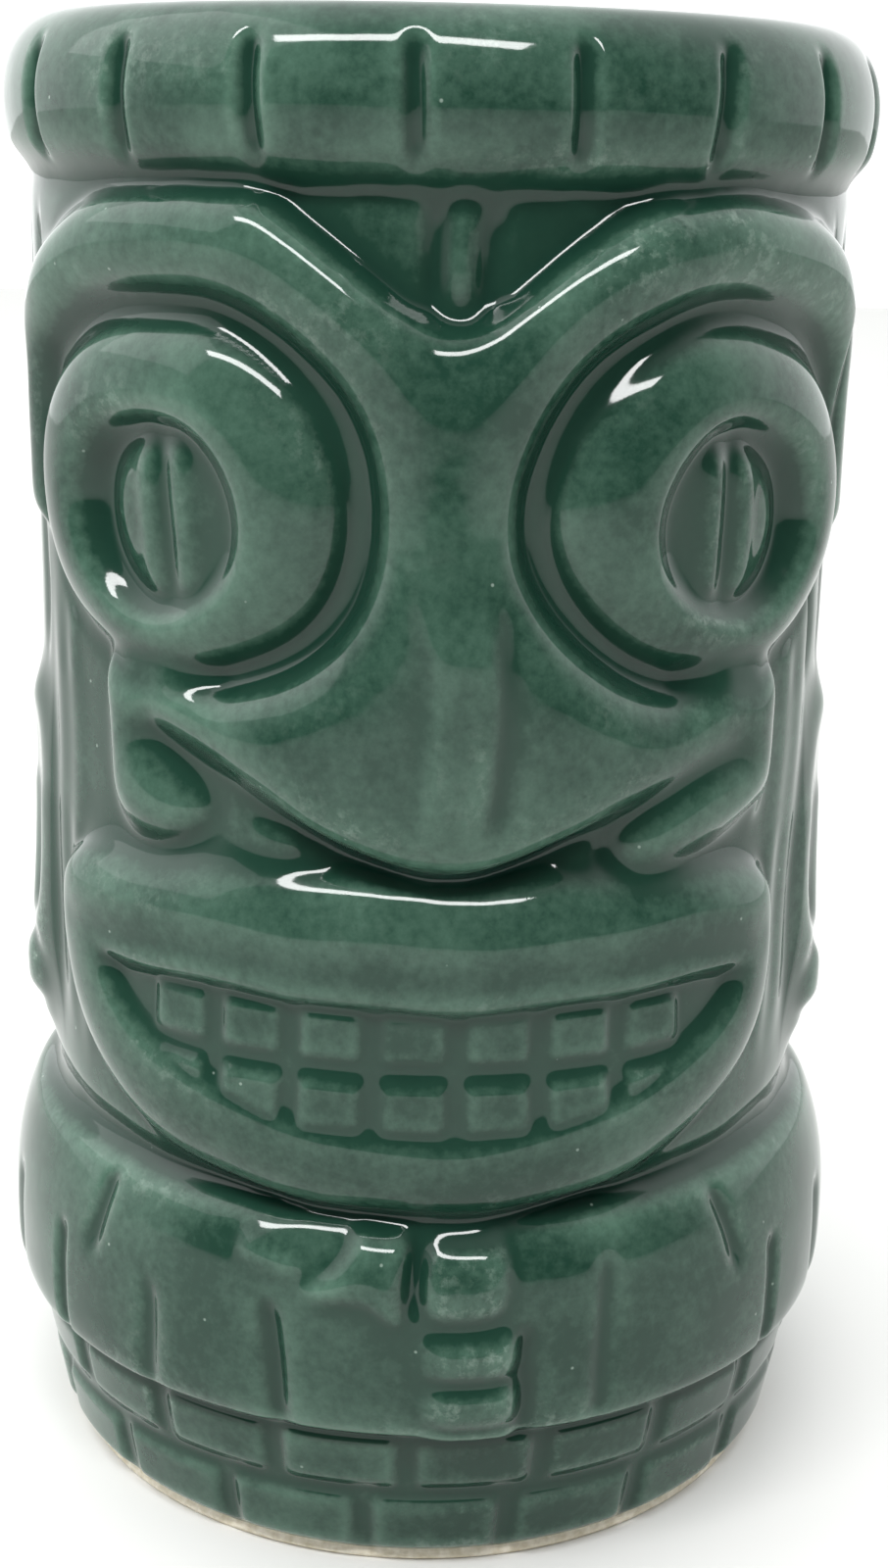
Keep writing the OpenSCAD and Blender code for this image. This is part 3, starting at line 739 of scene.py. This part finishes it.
def closed_rings(name, rings, material):
    """A closed skin from stacked rings, with both ends drawn to a point on the axis."""
    n, m = rings.shape[:2]
    index = np.arange(n * m).reshape(n, m)
    right = np.roll(index, -1, 1)
    faces = np.stack([index[:-1], right[:-1], right[1:], index[1:]], -1).reshape(-1, 4).tolist()
    faces += [(n * m, index[0, (i + 1) % m], index[0, i]) for i in range(m)]
    faces += [(n * m + 1, index[-1, i], index[-1, (i + 1) % m]) for i in range(m)]
    poles = [(0, 0, rings[0, 0, 2]), (0, 0, rings[-1, 0, 2])]
    mesh = bpy.data.meshes.new(name)
    mesh.from_pydata(np.concatenate([rings.reshape(-1, 3), poles]), [], faces)
    mesh.shade_smooth()
    mesh.materials.append(material)
    return bpy.data.objects.new(name, mesh)


FOOT_CHAMFER, RECESS_R, RECESS_H = 0.6, 34.7, 2.5
EASED = 0.4

# The clay in one closed skin: the recess under the foot, the foot ring, the outside under the coat, and the cup
coarse_turns = turns[::COARSE]
foot = [(r, RECESS_H) for r in np.linspace(0, RECESS_R - EASED, 10)[1:]]
foot += [(RECESS_R, RECESS_H - EASED), (RECESS_R, 0.5), (RECESS_R + 0.5, 0.0)]
foot += [(FOOT_R - FOOT_CHAMFER - 0.1, 0.0), (FOOT_R - 0.25, 0.15), (FOOT_R, FOOT_CHAMFER)]
cup = [(CREST_IN_R, CREST_Z)] + cup_outline(0)[-2:0:-1]
body = np.concatenate([
    turned_rings(foot, coarse_turns), inside[::COARSE, ::COARSE], turned_rings(cup, coarse_turns)])
keep(closed_rings("stoneware_cup", body, bare_clay()), "bare_clay", "clay_body")


# ---------------------------------------------------------------- Lining glaze
# The same green glaze poured inside the cup and out again, so it is thin, even and smooth to the lip.
lining_glaze = glaze("lining_celadon_glaze", "#0a241c", "#1e3c31", "#456452")
even_turns = np.linspace(-180, 180, 192, endpoint=False)

# It is bedded a hair's breadth into the clay, and meets the outer coat on the crest of the lip
BEDDED = 0.02
meet = CREST_IN_R + CREST_W / 2
wet = cup_outline(COAT)[1:]
against_clay = [(r + BEDDED, z) for r, z in cup_outline(0)[1:]]
lining = turned_rings(against_clay + [(meet, CREST_Z), (meet, LIP_TOP)] + wet[::-1], even_turns)
keep(closed_rings("cup_lining_glaze", lining, lining_glaze), "inner_glaze", "inner_glaze")


# ---------------------------------------------------------------- Underside glaze
# A pool of the same glaze swirled inside the foot ring, and wiped back to a rounded edge so that it could not
# stick to the kiln shelf.
PATCH_R = RECESS_R - 1.35
ROUND_W = 0.35
at_edge = [(PATCH_R + ROUND_W * cos(a), RECESS_H - COAT * sin(a)) for a in np.radians([15, 45, 70])]
patch = [(r, RECESS_H) for r in np.linspace(0.5, PATCH_R, 9)] + at_edge
patch += [(r, RECESS_H - COAT) for r in np.linspace(PATCH_R - 0.15, 0.5, 9)]
underside = closed_rings("foot_pool_glaze", turned_rings(patch[::-1], even_turns), lining_glaze)
keep(underside, "underside_glaze", "underside_glaze")


# ---------------------------------------------------------------- Floor, light and camera
# The mug stands on matt pale paper in a white room, and is seen a little from above at close range.
def plain(name, code, roughness):
    """A plain matt studio surface."""
    material = bpy.data.materials.new(name)
    material.use_nodes = True
    shader = material.node_tree.nodes["Principled BSDF"]
    shader.inputs["Base Color"].default_value = linear(code)
    shader.inputs["Roughness"].default_value = roughness
    return material


height = cad_high[2] - cad_low[2]
reach = 12 * height
corners = [(-reach, -reach, 0), (reach, -reach, 0), (reach, reach, 0), (-reach, reach, 0)]
paper = bpy.data.meshes.new("studio_floor")
paper.from_pydata(corners, [], [(0, 1, 2, 3)])
paper.materials.append(plain("pale_paper", "#dededc", 0.7))
floor = bpy.data.objects.new("studio_floor", paper)
bpy.context.collection.objects.link(floor)

# A white room behind the mug and to its left, dim on the camera's side, with a long lamp overhead
world = bpy.data.worlds.new("studio")
bpy.context.scene.world = world
world.use_nodes = True
room = world.node_tree
way_in = node(room, "ShaderNodeTexCoord").outputs["Generated"]
toward = node(room, "ShaderNodeVectorMath", {0: way_in, 1: (-0.1, 1.0, 0.0)}, operation="DOT_PRODUCT")
glow = node(room, "ShaderNodeMapRange", {0: toward.outputs["Value"], 1: -0.6, 2: 0.22, 3: 0.1, 4: 1.75},
            interpolation_type="SMOOTHSTEP").outputs[0]
seen = node(room, "ShaderNodeLightPath").outputs["Is Camera Ray"]
glow = node(room, "ShaderNodeMath", {0: glow, 1: seen}, operation="MAXIMUM").outputs[0]
room.links.new(glow, room.nodes["Background"].inputs["Strength"])
room.nodes["Background"].inputs["Color"].default_value = linear("#fcfdfd")


def lamp(name, turn, up, far, long, wide, power):
    """A long lamp lying across, at a turn and elevation in degrees and a distance in metres from the mug."""
    light = bpy.data.lights.new(name, "AREA")
    light.shape = "RECTANGLE"
    light.size, light.size_y, light.energy = long, wide, power
    hung = bpy.data.objects.new(name, light)
    bpy.context.collection.objects.link(hung)
    middle = Vector((0, 0, height / 2))
    turn, up = radians(turn), radians(up)
    way = Vector((sin(turn) * cos(up), -cos(turn) * cos(up), sin(up)))
    hung.location = middle + way * far
    hung.rotation_euler = (-way).to_track_quat("-Z", "Y").to_euler()


lamp("ceiling_lamp", -14, 58, far=1.2, long=1.1, wide=0.16, power=14)
lamp("window", -88, 45, far=2.3, long=2.4, wide=1.8, power=15)

# The camera looks down on the mug from close by, and is turned and tilted a degree or so as a hand holds it
camera = bpy.data.cameras.new("camera")
camera.sensor_fit, camera.sensor_height, camera.lens = "VERTICAL", 36, 49.5
camera.clip_start = 0.01
eye = bpy.data.objects.new("camera", camera)
bpy.context.collection.objects.link(eye)
CAMERA_AWAY, CAMERA_UP = 235.6 * MM, 143.6 * MM
yaw, pitch, tilt = radians(0.4476), radians(16.617), radians(1.2997)
ahead = Vector((sin(yaw) * cos(pitch), cos(yaw) * cos(pitch), -sin(pitch)))
level = Vector((cos(yaw), -sin(yaw), 0))
above = level.cross(ahead)
across = level * cos(tilt) + above * sin(tilt)
above = above * cos(tilt) - level * sin(tilt)
turned = Matrix((across, above, -ahead)).transposed().to_4x4()
eye.matrix_world = Matrix.Translation((0, -CAMERA_AWAY, CAMERA_UP)) @ turned
bpy.context.scene.camera = eye
bpy.context.scene.view_settings.view_transform = "Standard"
